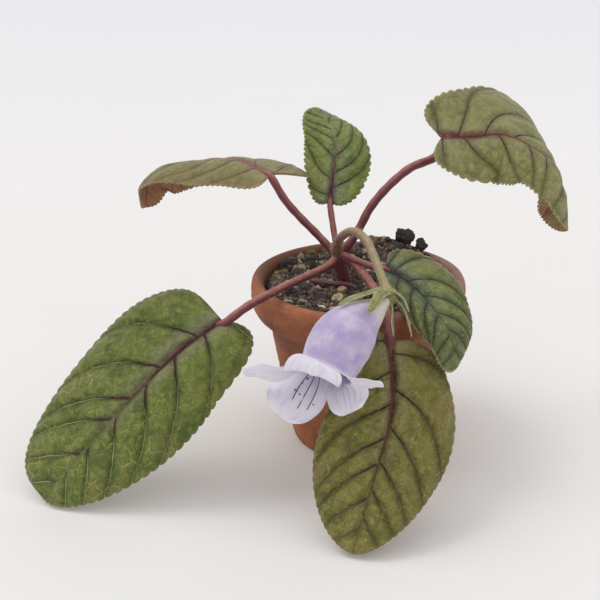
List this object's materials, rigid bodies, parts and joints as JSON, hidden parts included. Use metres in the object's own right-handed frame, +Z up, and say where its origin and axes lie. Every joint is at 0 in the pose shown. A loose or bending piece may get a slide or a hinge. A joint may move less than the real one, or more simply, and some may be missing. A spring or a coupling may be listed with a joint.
{
  "type": "potted sinningia eumorpha",
  "caption": "Young Sinningia eumorpha in a small clay pot: scalloped, net-veined leaves on red stalks and a nodding tubular lavender flower, over gritty soil.",
  "frame": {"origin": "middle of the whole plant and pot seen from above, on the surface that the pot stands on", "axes": "+Z up, along the axis of the pot; -Y towards the side where the flower nods over the rim; +X to its right"},
  "size_m": [0.1606, 0.1088, 0.108],
  "materials": {
    "terracotta": "bare fired clay, matte, weathered at the back of the rim",
    "gritty_soil": "damp gritty mix with pale grains",
    "leaf_blade": "quilted and softly shining, with red-brown veins",
    "red_stalk": "smooth, fine-haired, satin",
    "flower_stalk": "fine-haired, satin",
    "sepal": "fine-haired, matte, with pale edges",
    "petal": "thin and velvety",
    "stamen": "smooth, matte",
    "young_shoot": "smooth, satin",
    "old_wood": "dry and fibrous",
    "bark": "rough and dark",
    "pebble": "rough"
  },
  "bodies": {
    "root": {"pot": "terracotta", "soil": "gritty_soil", "stem_and_stalks": "red_stalk", "leaf_front_left": "leaf_blade", "leaf_back_left": "leaf_blade", "leaf_back": "leaf_blade", "leaf_back_right": "leaf_blade", "leaf_right": "leaf_blade", "leaf_front": "leaf_blade", "flower_stalk": "flower_stalk", "calyx": "sepal", "corolla": "petal", "stamens_and_style": "stamen", "young_shoot": "young_shoot", "cut_stub_tall": "old_wood", "cut_stub_short": "old_wood", "bark_chunk_large": "bark", "bark_chunk_small": "bark", "tan_stone": "pebble"}
  },
  "joints": []
}
